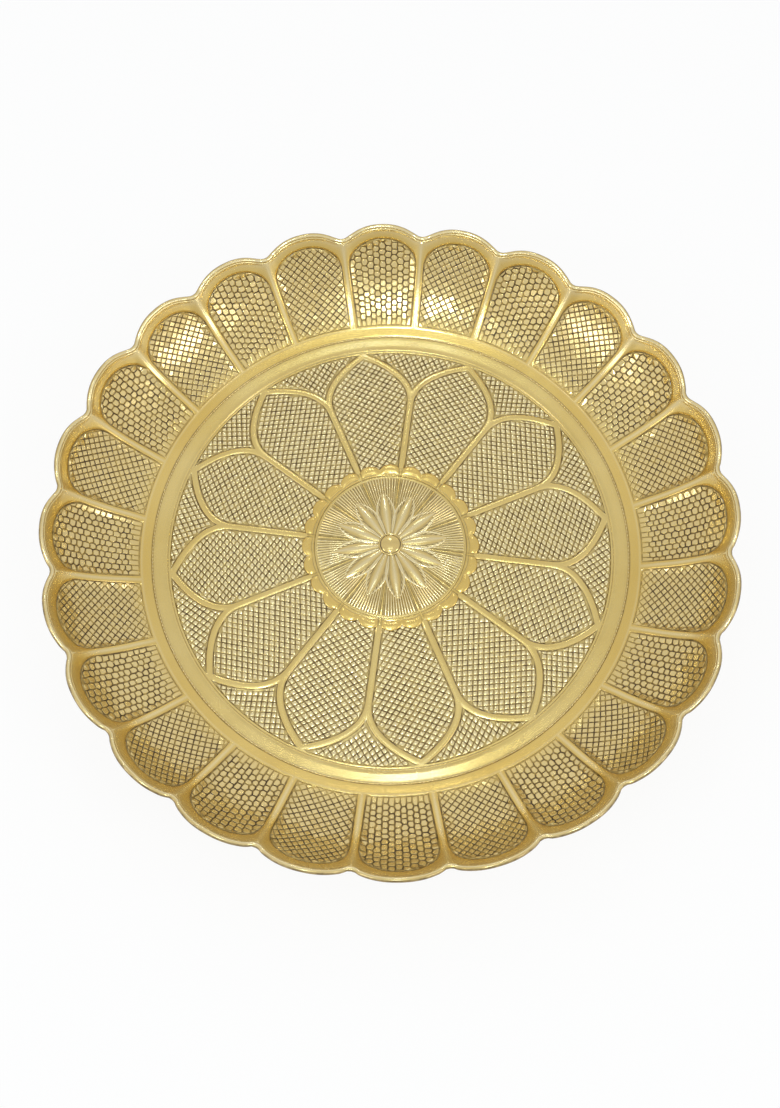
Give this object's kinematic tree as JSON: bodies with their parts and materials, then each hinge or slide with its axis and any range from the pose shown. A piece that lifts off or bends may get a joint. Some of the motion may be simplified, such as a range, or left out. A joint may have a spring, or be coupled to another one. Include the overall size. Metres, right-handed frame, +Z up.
{
  "type": "thali plate",
  "caption": "Round brass thali with a scalloped rim of sunk petal panels, a smooth step and a flat well with a petal and flower pattern, for serving food.",
  "frame": {"origin": "centre of the foot ring's lower face, on the surface that the plate stands on", "axes": "+Z up along the plate's axis of symmetry; the picture is taken from the -Y side, with +X to the right"},
  "size_m": [0.3, 0.3, 0.0401],
  "materials": {
    "dish_brass": "polished, darkened in the engraved lines",
    "bead_brass": "bright polished",
    "foot_brass": "turned, satin"
  },
  "bodies": {
    "root": {"dish": "dish_brass", "edge_bead": "bead_brass", "foot_ring": "foot_brass"}
  },
  "joints": []
}
